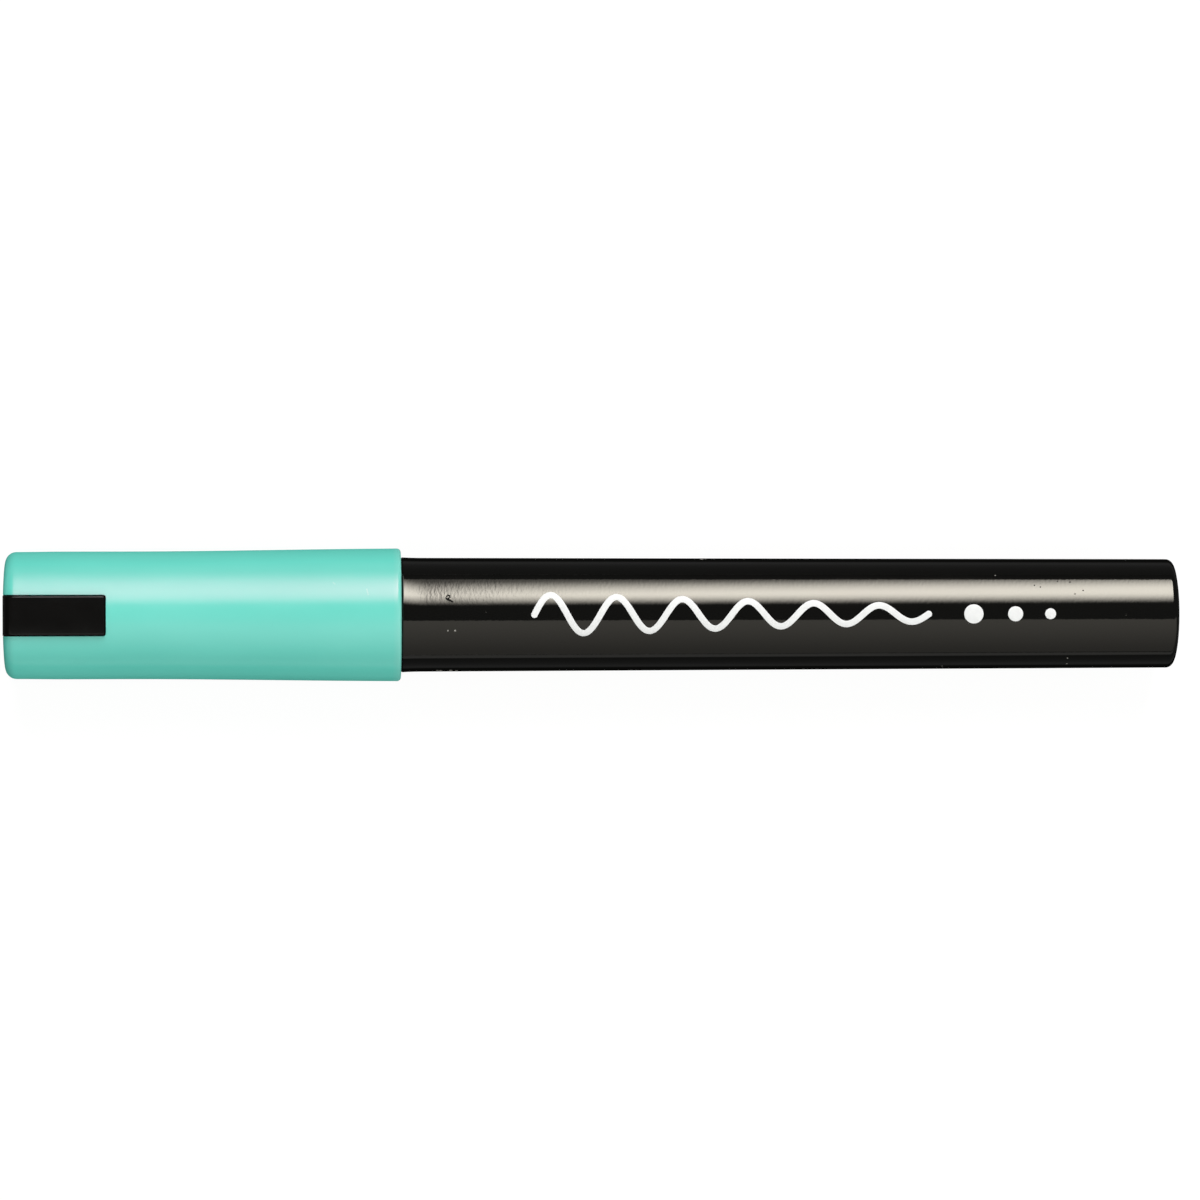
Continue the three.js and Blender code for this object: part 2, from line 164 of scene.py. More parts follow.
def rounded(corners):
    """Outline through corners, each (station, radius, rounding), with an arc at every rounded corner."""
    points = []
    for i, (station, radius, rounding) in enumerate(corners):
        corner = Vector((station, radius))
        if not rounding:
            points.append(corner)
            continue
        to_before = (Vector(corners[i - 1][:2]) - corner).normalized()
        to_after = (Vector(corners[(i + 1) % len(corners)][:2]) - corner).normalized()
        half_angle = to_before.angle(to_after) / 2
        reach = rounding / math.tan(half_angle)
        centre = corner + (to_before + to_after).normalized() * rounding / math.sin(half_angle)
        start = corner + to_before * reach - centre
        end = corner + to_after * reach - centre
        steps = max(3, math.ceil((math.pi - 2 * half_angle) / arc_step))
        points += [centre + start.slerp(end, step / steps) * rounding for step in range(steps + 1)]
    return points


def held(points, closed):
    """Adds a ring close to each end of a long run, so that the rounding beside it shades crisply."""
    filled = []
    followers = points[1:] + points[:1] if closed else points[1:]
    for point, follower in zip(points, followers):
        filled.append(point)
        run = follower - point
        if run.length > shortest_held_run:
            step = run.normalized() * hold_distance
            filled += [point + step, follower - step]
    if not closed:
        filled.append(points[-1])
    return filled


def finish_mesh(name, bm):
    """Makes a smooth-shaded object of a bmesh, with its hard corners kept sharp."""
    bmesh.ops.remove_doubles(bm, verts=bm.verts, dist=weld_distance * mm)
    bmesh.ops.recalc_face_normals(bm, faces=bm.faces)
    for face in bm.faces:
        face.smooth = True
    for edge in bm.edges:
        edge.smooth = edge.is_manifold and edge.calc_face_angle() < sharp_angle
    mesh = bpy.data.meshes.new(name)
    bm.to_mesh(mesh)
    bm.free()
    piece = bpy.data.objects.new(name, mesh)
    bpy.context.scene.collection.objects.link(piece)
    return piece


def turned(name, corners, closed=False, sides=round_sides):
    """A piece turned about the marker's axis. A closed outline goes round a bore, and an open one starts
    and ends on the axis."""
    outline = held(rounded(corners), closed)
    bm = bmesh.new()
    rim = [bm.verts.new((along(station), 0, axis_height + radius * mm)) for station, radius in outline]
    partners = rim[1:] + rim[:1] if closed else rim[1:]
    edges = [bm.edges.new(pair) for pair in zip(rim, partners)]
    bmesh.ops.spin(
        bm,
        geom=rim + edges,
        cent=(0, 0, axis_height),
        axis=(1, 0, 0),
        angle=math.tau,
        steps=sides,
        use_merge=True,
    )
    return finish_mesh(name, bm)


def cap_shoulder():
    """Corners of the low shoulder behind the cap's mouth, which dies away along the barrel."""
    corners = [(shoulder_start, barrel_radius(shoulder_start), 0)]
    for step in range(shoulder_fade_steps + 1):
        share = step / shoulder_fade_steps
        station = shoulder_crest + shoulder_fade_length * share
        corners.append((station, barrel_radius(station) + shoulder_height * (1 - share) ** 3, 0))
    return corners


def barrel_mesh():
    floor = barrel_end - barrel_end_wall
    dimple_floor = barrel_end - gate_dimple_depth
    end_radius = barrel_radius(barrel_end)
    mouth_bore = barrel_mouth_radius - barrel_wall
    return turned(
        "marker_barrel",
        [
            (barrel_mouth, mouth_bore, 0),
            (barrel_mouth, barrel_mouth_radius, barrel_lip_rounding),
            *cap_shoulder(),
            (barrel_end, end_radius, barrel_end_rounding),
            (barrel_end, gate_dimple_radius, gate_dimple_rounding),
            (dimple_floor, gate_dimple_radius - gate_dimple_depth, 0),
            (dimple_floor, 0, 0),
            (floor, 0, 0),
            (floor, end_radius - barrel_wall, barrel_floor_rounding),
            (barrel_mouth, mouth_bore, 0),
        ],
    )


barrel = barrel_mesh()


class Finish:
    """A procedural material: adds nodes to a Principled shader and links them by the names of sockets."""

    def __init__(self, name, colour, roughness):
        self.material = bpy.data.materials.new(name)
        self.material.use_nodes = True
        self.tree = self.material.node_tree
        self.shader = self.tree.nodes["Principled BSDF"]
        self.shader.inputs["Base Color"].default_value = (*colour, 1)
        self.shader.inputs["Roughness"].default_value = roughness
        self.place = self.node("ShaderNodeTexCoord").outputs["Object"]

    def node(self, kind, **settings):
        made = self.tree.nodes.new(kind)
        for key, value in settings.items():
            setattr(made, key, value)
        return made

    def link(self, output, node, socket):
        self.tree.links.new(output, node.inputs[socket])

    def scaled_along(self, scale):
        """Coordinates for noise: a scale under one draws its features out along the marker."""
        mapping = self.node("ShaderNodeMapping")
        mapping.inputs["Scale"].default_value = (scale, 1, 1)
        self.link(self.place, mapping, "Vector")
        return mapping.outputs["Vector"]

    def noise(self, size, detail=2, place=None):
        """Noise whose features are about size millimetres across."""
        noise = self.node("ShaderNodeTexNoise")
        noise.inputs["Scale"].default_value = 1 / (size * mm)
        noise.inputs["Detail"].default_value = detail
        self.link(place or self.place, noise, "Vector")
        return noise.outputs["Fac"]

    def ramp(self, value, low, high, to_low=0, to_high=1):
        """Goes evenly from to_low to to_high while value goes from low to high."""
        ramp = self.node("ShaderNodeMapRange", clamp=True)
        ramp.inputs["From Min"].default_value = low
        ramp.inputs["From Max"].default_value = high
        ramp.inputs["To Min"].default_value = to_low
        ramp.inputs["To Max"].default_value = to_high
        self.link(value, ramp, "Value")
        return ramp.outputs["Result"]

    def maths(self, operation, first, second):
        maths = self.node("ShaderNodeMath", operation=operation)
        for socket, value in enumerate((first, second)):
            if isinstance(value, (int, float)):
                maths.inputs[socket].default_value = value
            else:
                self.link(value, maths, socket)
        return maths.outputs[0]

    def mixed(self, share, first, second):
        """First where share is zero, second where it is one. Each is a colour or an output."""
        mix = self.node("ShaderNodeMix", data_type="RGBA")
        colour_sockets = (6, 7)
        colour_output = 2
        self.link(share, mix, "Factor")
        for socket, value in zip(colour_sockets, (first, second)):
            if isinstance(value, tuple):
                mix.inputs[socket].default_value = (*value, 1)
            else:
                self.link(value, mix, socket)
        return mix.outputs[colour_output]

    def coordinate(self, axis):
        """The place along an axis, in metres."""
        split = self.node("ShaderNodeSeparateXYZ")
        self.link(self.place, split, "Vector")
        return split.outputs[axis]

    def facing(self):
        """Zero where the surface faces the view, rising to one where it turns away."""
        return self.node("ShaderNodeLayerWeight").outputs["Facing"]

    def spots(self, places, radius_at):
        """One in round spots, each (station, degrees from the top towards +Y, radius), and zero elsewhere.
        The surface's own radius at a station is radius_at(station)."""
        total = None
        for station, turn, radius in places:
            distance = self.node("ShaderNodeVectorMath", operation="DISTANCE")
            self.link(self.place, distance, 0)
            across = radius_at(station) * mm * math.sin(math.radians(turn))
            up = radius_at(station) * mm * math.cos(math.radians(turn))
            distance.inputs[1].default_value = (along(station), across, axis_height + up)
            spot = self.ramp(distance.outputs["Value"], radius * mm, radius * mm / 2)
            total = spot if total is None else self.maths("MAXIMUM", total, spot)
        return total

    def quiet_edges(self, start, end, level, edge_level):
        """A gloss that sinks where the surface turns away, so that a pale floor doesn't wash its edges out:
        from level to edge_level while facing goes from start to end, and to none at the rim."""
        rim_start = 0.58
        rim_end = 0.67
        self.shader.inputs["Specular IOR Level"].default_value = level
        facing = self.facing()
        sunk = self.ramp(facing, start, end, level, edge_level)
        return self.maths("MULTIPLY", sunk, self.ramp(facing, rim_start, rim_end, 1, 0))

    def gloss(self, output):
        self.link(output, self.shader, "Specular IOR Level")

    def colour(self, output):
        self.link(output, self.shader, "Base Color")

    def roughness(self, output):
        self.link(output, self.shader, "Roughness")

    def bump(self, height, depth):
        """Adds bumps to those there are: height, from 0 to 1, times depth in millimetres."""
        bump = self.node("ShaderNodeBump")
        bump.inputs["Distance"].default_value = depth * mm
        self.link(height, bump, "Height")
        before = self.shader.inputs["Normal"]
        if before.is_linked:
            self.link(before.links[0].from_socket, bump, "Normal")
        self.link(bump.outputs["Normal"], self.shader, "Normal")


def barrel_finish():
    """Polished black plastic: a faint ripple, dust flecks, a few small pits and one curled mark. Its near
    side, towards -Y, keeps some gloss a little further round than its far side."""
    black = (0.0042, 0.0042, 0.004)
    dust_grey = (0.34, 0.33, 0.31)
    warm_gloss = (1, 0.97, 0.88, 1)
    side_blend = 0.5 * mm
    finish = Finish("polished_black_plastic", black, 0.06)
    finish.shader.inputs["IOR"].default_value = 1.6
    finish.shader.inputs["Specular Tint"].default_value = warm_gloss
    long_waves = finish.noise(2.4, 1, finish.scaled_along(0.35))
    finish.bump(long_waves, 0.006)
    short_ripple = finish.noise(0.62, 2, finish.scaled_along(2.1))
    finish.bump(short_ripple, 0.0045)
    haze = finish.ramp(finish.noise(9, 3), 0.35, 0.75, 0.05, 0.1)
    pits = finish.spots(barrel_pits + barrel_wrinkle, barrel_radius)
    finish.bump(pits, -0.03)
    finish.roughness(finish.maths("ADD", haze, finish.maths("MULTIPLY", pits, 0.6)))
    far_side = finish.quiet_edges(0.245, 0.3, 0.5, 0.009)
    near_side = finish.quiet_edges(0.285, 0.299, 0.5, 0.115)
    near_side = finish.maths("MULTIPLY", near_side, finish.ramp(finish.facing(), 0.344, 0.366, 1, 0.06))
    nearness = finish.ramp(finish.coordinate("Y"), side_blend, -side_blend)
    edges = finish.mixed(nearness, far_side, near_side)
    finish.gloss(finish.maths("MULTIPLY", edges, finish.ramp(pits, 0, 1, 1, 0.2)))
    dust = finish.spots(barrel_dust, barrel_radius)
    finish.colour(finish.mixed(dust, black, dust_grey))
    return finish.material


barrel.data.materials.append(barrel_finish())
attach(barrel, "barrel_body")
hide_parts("barrel")


# Printed stroke
# White ink, pad-printed on the top of the barrel: a wavy stroke that dies away, and three dots. It is a
# thin skin of ink that stands a few hundredths of a millimetre off the plastic.
ink_start = 62.8
ink_wave_length = 47
ink_waves = 6
ink_height = 2.45
ink_end_height = 0.85
ink_width = 0.78
ink_thickness = 0.03
ink_dot_stations = (115.2, 120.2, 124.4)
ink_dot_widths = (2.3, 1.8, 1.3)
ink_dot_half_length = 0.01
ink_tip_width = 0.002
ink_steps = 260
ink_end_steps = 6
ink_section_steps = 3


def ink_stroke(points, widths):
    """A round stroke along points (station, distance round the barrel), as wide as widths at each."""
    curve = bpy.data.curves.new("ink_path", "CURVE")
    curve.dimensions = "3D"
    curve.bevel_depth = 1
    curve.bevel_resolution = ink_section_steps
    curve.use_fill_caps = True
    spline = curve.splines.new("POLY")
    spline.points.add(len(points) - 1)
    for point, (station, offset), width in zip(spline.points, points, widths):
        point.co = (station, offset, 0, 1)
        point.radius = width / 2
    path = bpy.data.objects.new("ink_path", curve)
    bpy.context.scene.collection.objects.link(path)
    bpy.context.view_layer.update()
    mesh = bpy.data.meshes.new_from_object(path.evaluated_get(bpy.context.evaluated_depsgraph_get()))
    bpy.data.objects.remove(path)
    return mesh


def ink_line(points, width):
    """The points of a stroke and its width at each, with close points added for its round ends."""
    half = width / 2
    first, last = Vector(points[0]), Vector(points[-1])
    lead = (first - Vector(points[1])).normalized()
    trail = (last - Vector(points[-2])).normalized()
    turns = [math.pi / 2 * step / ink_end_steps for step in range(ink_end_steps, 0, -1)]
    start = [tuple(first + lead * half * math.sin(turn)) for turn in turns]
    end = [tuple(last + trail * half * math.sin(turn)) for turn in reversed(turns)]
    narrow = [max(width * math.cos(turn), ink_tip_width) for turn in turns]
    return start + points + end, narrow + [width] * len(points) + list(reversed(narrow))


def wave_points():
    """The middle line of the wavy stroke, which gets lower towards its end."""
    points = []
    for step in range(ink_steps + 1):
        share = step / ink_steps
        height = ink_height + (ink_end_height - ink_height) * share
        offset = height * math.sin(math.tau * ink_waves * share)
        points.append((ink_start + ink_wave_length * share, offset))
    return points


def ink_mesh():
    """All strokes, laid round the barrel and pressed down to the thickness of the ink."""
    bm = bmesh.new()
    strokes = [ink_line(wave_points(), ink_width)]
    for station, width in zip(ink_dot_stations, ink_dot_widths):
        dot = [(station - ink_dot_half_length, 0), (station + ink_dot_half_length, 0)]
        strokes.append(ink_line(dot, width))
    for points, widths in strokes:
        mesh = ink_stroke(points, widths)
        bm.from_mesh(mesh)
        bpy.data.meshes.remove(mesh)
    for vert in bm.verts:
        station, offset, height = vert.co
        radius = barrel_radius(station) + max(-1, min(1, height / (ink_width / 2))) * ink_thickness
        angle = offset / barrel_radius(station)
        across = radius * mm * math.sin(angle)
        up = radius * mm * math.cos(angle)
        vert.co = (along(station), across, axis_height + up)
    return finish_mesh("printed_stroke", bm)


def ink_finish():
    """White ink, duller than the plastic under it, with a faint mottle."""
    finish = Finish("white_ink", (0.77, 0.78, 0.79), 0.42)
    mottle = finish.noise(0.6, 3)
    finish.colour(finish.mixed(mottle, (0.71, 0.72, 0.74), (0.82, 0.83, 0.84)))
    finish.bump(finish.noise(0.18, 2), 0.004)
    return finish.material


ink = ink_mesh()
ink.data.materials.append(ink_finish())
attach(ink, "barrel_body")


# Nib holder
# Black plastic moulding pressed into the barrel's mouth: nose, seal bead, neck, collar and plug. Grooves
# along its bore let paint and air past the nib, and behind a step the bore widens for the valve.
holder_low, holder_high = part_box("nib_holder")
nose_tip = station_of(holder_low.x)
plug_back = station_of(holder_high.x)
collar_radius = (holder_high.y - holder_low.y) / 2 / mm
nose_length = 9
shoulder = nose_tip + nose_length
collar_back = barrel_mouth - 0.1
collar_front = collar_back - 1.4
nib_bore = 2.24
nose_tip_radius = 2.99
nose_back_radius = 3.49
bead_corner_radius = 3.83
bead_station = shoulder - 2.6
bead_half_width = 0.75
bead_front_radius = nose_back_radius - 0.1
neck_back_radius = collar_radius - 0.85
neck_front_radius = neck_back_radius - 0.6
plug_radius = 5.58
plug_bore = 3.94
bore_step = 37
groove_count = 4
groove_width = 0.7
groove_depth = 0.4
groove_end = bore_step - 0.7
cutter_overshoot = 1
edge_steps = 5


def boolean(piece, tool, operation):
    """Cuts the tool from the piece, or joins it on, and removes the tool."""
    step = piece.modifiers.new("boolean", "BOOLEAN")
    step.solver = "EXACT"
    step.operation = operation
    step.object = tool
    bpy.context.view_layer.update()
    mesh = bpy.data.meshes.new_from_object(piece.evaluated_get(bpy.context.evaluated_depsgraph_get()))
    piece.modifiers.clear()
    bpy.data.objects.remove(tool)
    bm = bmesh.new()
    bm.from_mesh(mesh)
    bpy.data.meshes.remove(mesh)
    name = piece.name
    bpy.data.objects.remove(piece)
    return finish_mesh(name, bm)


def round_edges(bm, edges, rounding):
    """Rounds some edges of a mesh by a radius in millimetres."""
    bmesh.ops.bevel(
        bm,
        geom=edges,
        offset=rounding * mm,
        affect="EDGES",
        segments=edge_steps,
        profile=0.5,
        material=-1,
    )


def block(name, from_station, to_station, width, from_height, to_height, turn=0.0, tip_rounding=0.0):
    """A box by its stations, its width and its heights over the marker's axis, turned about that axis.
    Its two upright edges at to_station can be rounded."""
    bm = bmesh.new()
    bmesh.ops.create_cube(bm, size=1)
    size = Vector((to_station - from_station, width, to_height - from_height)) * mm
    bmesh.ops.scale(bm, vec=size, verts=bm.verts)
    if tip_rounding:
        ahead = [edge for edge in bm.edges if min(vert.co.x for vert in edge.verts) > 0]
        upright = [edge for edge in ahead if edge.verts[0].co.y * edge.verts[1].co.y > 0]
        round_edges(bm, upright, tip_rounding)
    middle = ((along(from_station) + along(to_station)) / 2, 0, (from_height + to_height) / 2 * mm)
    bmesh.ops.translate(bm, vec=middle, verts=bm.verts)
    bmesh.ops.rotate(bm, cent=(0, 0, 0), matrix=Matrix.Rotation(turn, 3, "X"), verts=bm.verts)
    bmesh.ops.translate(bm, vec=(0, 0, axis_height), verts=bm.verts)
    return finish_mesh(name, bm)


def holder_mesh():
    holder = turned(
        "front_section",
        [
            (nose_tip, nib_bore, 0.1),
            (nose_tip, nose_tip_radius, 0.3),
            (bead_station - bead_half_width, bead_front_radius, 0.3),
            (bead_station, bead_corner_radius, 0.35),
            (bead_station + bead_half_width, nose_back_radius, 0.3),
            (shoulder, nose_back_radius, 0.12),
            (shoulder, neck_front_radius, 0.4),
            (collar_front, neck_back_radius, 0.2),
            (collar_front, collar_radius, 0.25),
            (collar_back, collar_radius, 0.1),
            (collar_back, plug_radius, 0),
            (plug_back, plug_radius, 0.6),
            (plug_back, plug_bore, 0.15),
            (bore_step, plug_bore, 0.05),
            (bore_step, nib_bore, 0.1),
        ],
        closed=True,
    )
    start = nose_tip - cutter_overshoot
    inside = nib_bore / 2
    outside = nib_bore + groove_depth
    for i in range(groove_count):
        turn = math.tau * (i + 0.5) / groove_count
        groove = block("groove", start, groove_end, groove_width, inside, outside, turn)
        holder = boolean(holder, groove, "DIFFERENCE")
    return holder


def satin_finish(name, colour, roughness):
    """Moulded plastic with a fine satin grain, a slight drift of gloss and a few scuffs."""
    finish = Finish(name, colour, roughness)
    grain = finish.noise(0.09, 2)
    finish.bump(grain, 0.002)
    drift = finish.ramp(finish.noise(3.5, 3), 0.3, 0.7, roughness - 0.05, roughness + 0.06)
    scuffs = finish.ramp(finish.noise(0.2, 1, finish.scaled_along(0.1)), 0.68, 0.74)
    finish.roughness(finish.maths("ADD", drift, finish.maths("MULTIPLY", scuffs, 0.12)))
    lighter = tuple(min(1, channel * 1.8 + 0.002) for channel in colour)
    finish.colour(finish.mixed(finish.ramp(finish.noise(1.4, 4), 0.4, 0.85), colour, lighter))
    return finish.material


satin_black = satin_finish("satin_black_plastic", (0.0085, 0.008, 0.0075), 0.34)
holder = holder_mesh()
holder.data.materials.append(satin_black)
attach(holder, "barrel_body")
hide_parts("nib_holder")


# Nib
# Bullet nib of bonded fibre, ground round at the tip. It slides in the nose, and paint has soaked it
# from the tip backwards.
nib_low, nib_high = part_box("nib")
nib_tip = station_of(nib_low.x)
nib_back = station_of(nib_high.x)
nib_radius = (nib_high.y - nib_low.y) / 2 / mm
nib_dome_length = 3.3
nib_dome_steps = 16
stain_fades_from = nib_tip + 4.6
stain_ends = nib_tip + 6.8
stain_raggedness = 1.6


def nib_mesh():
    dome = []
    for step in range(nib_dome_steps):
        angle = math.pi / 2 * step / nib_dome_steps
        dome.append((nib_tip + nib_dome_length * (1 - math.cos(angle)), nib_radius * math.sin(angle), 0))
    return turned(
        "writing_nib",
        dome
        + [
            (nib_tip + nib_dome_length, nib_radius, 0),
            (nib_back, nib_radius, 0.4),
            (nib_back, 0, 0),
        ],
    )


def nib_finish():
    """Open fibre, white where it is dry and stained by the paint at the tip."""
    dry_white = (0.78, 0.79, 0.76)
    finish = Finish("nib_fibre", (0.3, 0.68, 0.6), 0.85)
    fibres = finish.noise(0.16, 3, finish.scaled_along(0.35))
    finish.bump(fibres, 0.035)
    ragged = finish.maths("MULTIPLY", finish.noise(0.8, 3), stain_raggedness * mm)
    edge = finish.maths("ADD", finish.coordinate("X"), ragged)
    dry = finish.ramp(edge, along(stain_fades_from), along(stain_ends))
    wet = finish.mixed(fibres, (0.09, 0.5, 0.42), (0.17, 0.66, 0.57))
    finish.colour(finish.mixed(dry, wet, dry_white))
    finish.roughness(finish.ramp(fibres, 0.3, 0.7, 0.75, 0.95))
    return finish.material


nib = nib_mesh()
nib.data.materials.append(nib_finish())
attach(nib, "nib")
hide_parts("nib")


# Valve seat
# White plastic ring pressed into the holder's bore against its step. The stem's seal closes on its back.
seat_low, seat_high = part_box("valve_seat")
seat_front = station_of(seat_low.x)
seat_back = station_of(seat_high.x)
seat_radius = (seat_high.y - seat_low.y) / 2 / mm
seat_hole = 1.34


def seat_mesh():
    return turned(
        "seat_ring",
        [
            (seat_front, seat_hole, 0.1),
            (seat_front, seat_radius, 0.2),
            (seat_back, seat_radius, 0.1),
            (seat_back, seat_hole, 0.2),
        ],
        closed=True,
        sides=96,
    )


natural_white = satin_finish("natural_white_plastic", (0.8, 0.8, 0.77), 0.38)
seat = seat_mesh()
seat.data.materials.append(natural_white)
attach(seat, "barrel_body")
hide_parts("valve_seat")


# Valve stem
# White plastic rod behind the nib. Its pin goes through the seat, its head carries the seal, and its
# tail slides in the floor of the spring cage.
stem_low, stem_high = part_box("valve_stem")
stem_front = station_of(stem_low.x)
stem_end = station_of(stem_high.x)
head_radius = (stem_high.y - stem_low.y) / 2 / mm
pin_radius = 0.99
tail_radius = 0.79
head_front = seat_back + 0.95
head_back = head_front + 1.2


def stem_mesh():
    return turned(
        "valve_rod",
        [
            (stem_front, 0, 0),
            (stem_front, pin_radius, 0.2),
            (head_front, pin_radius, 0),
            (head_front, head_radius, 0.2),
            (head_back, head_radius, 0.15),
            (head_back, tail_radius, 0.1),
            (stem_end, tail_radius, 0.2),
            (stem_end, 0, 0),
        ],
        sides=96,
    )


stem = stem_mesh()
stem.data.materials.append(natural_white)
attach(stem, "valve")
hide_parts("valve_stem")


# Stem seal
# Black rubber ring that sits on the stem against its head and closes the seat when the nib is out.
seal_low, seal_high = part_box("stem_seal")
seal_middle = (station_of(seal_low.x) + station_of(seal_high.x)) / 2
seal_wire_radius = (station_of(seal_high.x) - station_of(seal_low.x)) / 2
seal_ring_radius = (seal_high.y - seal_low.y) / 2 / mm - seal_wire_radius
seal_steps = 24


def seal_mesh():
    ring = []
    for step in range(seal_steps):
        angle = math.tau * step / seal_steps
        station = seal_middle + seal_wire_radius * math.cos(angle)
        ring.append((station, seal_ring_radius + seal_wire_radius * math.sin(angle), 0))
    return turned("seal_ring", ring, closed=True, sides=96)


def rubber_finish():
    """Matt moulded rubber with a fine bloom."""
    finish = Finish("seal_rubber", (0.018, 0.018, 0.018), 0.6)
    bloom = finish.noise(0.4, 3)
    finish.colour(finish.mixed(bloom, (0.012, 0.012, 0.012), (0.035, 0.035, 0.034)))
    finish.bump(finish.noise(0.07, 2), 0.003)
    return finish.material


seal = seal_mesh()
seal.data.materials.append(rubber_finish())
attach(seal, "valve")
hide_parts("stem_seal")


# Valve spring
# Compression spring of drawn steel wire between the stem's head and the cage's floor. The real one
# shortens as the nib is pressed; here it is built at one length.
spring_low, spring_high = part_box("valve_spring")
spring_wire_radius = 0.25
spring_coil_radius = (spring_high.y - spring_low.y) / 2 / mm - spring_wire_radius
spring_start = station_of(spring_low.x) + spring_wire_radius
spring_end = station_of(spring_high.x) - spring_wire_radius
spring_turns = 8
spring_steps = 40
wire_sides = 12


def spring_mesh():
    """The wire's round section, swept along the coil by a screw about the marker's axis."""
    bm = bmesh.new()
    wire = bmesh.ops.create_circle(bm, cap_ends=True, segments=wire_sides, radius=spring_wire_radius * mm)
    lean = math.atan2(spring_end - spring_start, math.tau * spring_coil_radius * spring_turns)
    for angle, axis in ((math.pi / 2 + lean, "Y"), (math.pi / 2, "X")):
        bmesh.ops.rotate(bm, cent=(0, 0, 0), matrix=Matrix.Rotation(angle, 3, axis), verts=bm.verts)
    bmesh.ops.translate(
        bm,
        vec=(along(spring_start), 0, axis_height + spring_coil_radius * mm),
        verts=wire["verts"],
    )
    steps = spring_turns * spring_steps
    bmesh.ops.spin(
        bm,
        geom=bm.verts[:] + bm.edges[:] + bm.faces[:],
        cent=(0, 0, axis_height),
        axis=(1, 0, 0),
        dvec=((spring_end - spring_start) * mm / steps, 0, 0),
        angle=math.tau * spring_turns,
        steps=steps,
    )
    return finish_mesh("valve_coil", bm)


def steel_finish(name, roughness, grain):
    """Bright steel, with the fine lines that drawing or grinding leaves on it."""
    finish = Finish(name, (0.62, 0.63, 0.64), roughness)
    finish.shader.inputs["Metallic"].default_value = 1
    lines = finish.noise(grain, 3)
    finish.bump(lines, 0.0015)
    finish.roughness(finish.ramp(lines, 0.3, 0.7, roughness - 0.05, roughness + 0.08))
    finish.colour(finish.mixed(finish.noise(1.1, 2), (0.56, 0.57, 0.59), (0.68, 0.68, 0.68)))
    return finish.material


spring = spring_mesh()
spring.data.materials.append(steel_finish("drawn_steel_wire", 0.24, 0.08))
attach(spring, "barrel_body")
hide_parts("valve_spring")
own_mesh(spring)


# Spring cage
# White plastic cup that snaps into the back of the nib holder and holds the spring. Paint enters the
# valve through four windows in its wall.
cage_low, cage_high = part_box("spring_cage")
cage_front = station_of(cage_low.x)
cage_end = station_of(cage_high.x)
cage_flange_radius = (cage_high.y - cage_low.y) / 2 / mm
cage_radius = 3.86
cage_bore = 3.22
cage_floor = cage_end - 1
cage_flange_front = plug_back + 0.1
cage_flange_back = cage_flange_front + 1
cage_hole = 0.95
cage_window_count = 4
cage_window_width = 1.8
cage_window_length = 2.4
cage_window_end = cage_floor - 0.1
cage_window_inside = 2
cage_window_outside = 6


def cage_mesh():
    cage = turned(
        "spring_cup",
        [
            (cage_front, cage_bore, 0.1),
            (cage_front, cage_radius, 0.2),
            (cage_flange_front, cage_radius, 0),
            (cage_flange_front, cage_flange_radius, 0.12),
            (cage_flange_back, cage_flange_radius, 0.12),
            (cage_flange_back, cage_radius, 0.15),
            (cage_end, cage_radius, 0.3),
            (cage_end, cage_hole, 0.08),
            (cage_floor, cage_hole, 0.08),
            (cage_floor, cage_bore, 0.2),
        ],
        closed=True,
    )
    for i in range(cage_window_count):
        window = block(
            "window",
            cage_window_end - cage_window_length,
            cage_window_end,
            cage_window_width,
            cage_window_inside,
            cage_window_outside,
            math.tau * (i + 0.5) / cage_window_count,
        )
        cage = boolean(cage, window, "DIFFERENCE")
    return cage


cage = cage_mesh()
cage.data.materials.append(natural_white)
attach(cage, "barrel_body")
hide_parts("spring_cage")


# Mixing ball
# Ground steel ball, loose in the barrel, that stirs the paint when the marker is shaken.
ball_low, ball_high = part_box("mixing_ball")
ball_middle = (ball_low + ball_high) / 2
ball_radius = (ball_high.z - ball_low.z) / 2


def ball_mesh():
    bm = bmesh.new()
    bmesh.ops.create_icosphere(bm, subdivisions=5, radius=ball_radius)
    bmesh.ops.translate(bm, vec=ball_middle, verts=bm.verts)
    return finish_mesh("steel_ball", bm)


ball = ball_mesh()
ball.data.materials.append(steel_finish("ground_steel", 0.12, 0.3))
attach(ball, "ball")
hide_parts("mixing_ball")


# Inner cap
# Soft natural cup, moulded in a waxy plastic, that closes over the nib and seals on the nose's bead.
# Its flange is clamped between the cap's web and the end insert.
inner_low, inner_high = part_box("inner_cap")
inner_front = station_of(inner_low.x)
inner_mouth = station_of(inner_high.x)
inner_flange_radius = (inner_high.y - inner_low.y) / 2 / mm
inner_flange = 1
inner_wall = 0.7
inner_mouth_bore = 3.84
inner_floor_bore = 3.39


def inner_cap_mesh():
    floor = inner_front + inner_flange
    return turned(
        "sealing_cup",
        [
            (inner_front, 0, 0),
            (inner_front, inner_flange_radius, 0.15),
            (floor, inner_flange_radius, 0.15),
            (floor, inner_floor_bore + inner_wall, 0.2),
            (inner_mouth, inner_mouth_bore + inner_wall, 0.15),
            (inner_mouth, inner_mouth_bore, 0.25),
            (floor, inner_floor_bore, 0.4),
            (floor, 0, 0),
        ],
    )


def waxy_finish():
    """Milky, faintly cloudy plastic with a soft sheen."""
    finish = Finish("waxy_natural_plastic", (0.74, 0.77, 0.74), 0.42)
    finish.colour(finish.mixed(finish.noise(2.5, 3), (0.70, 0.735, 0.71), (0.80, 0.815, 0.785)))
    finish.bump(finish.noise(0.3, 2), 0.003)
    return finish.material


inner_cap = inner_cap_mesh()
inner_cap.data.materials.append(waxy_finish())
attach(inner_cap, "cap")
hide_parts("inner_cap")


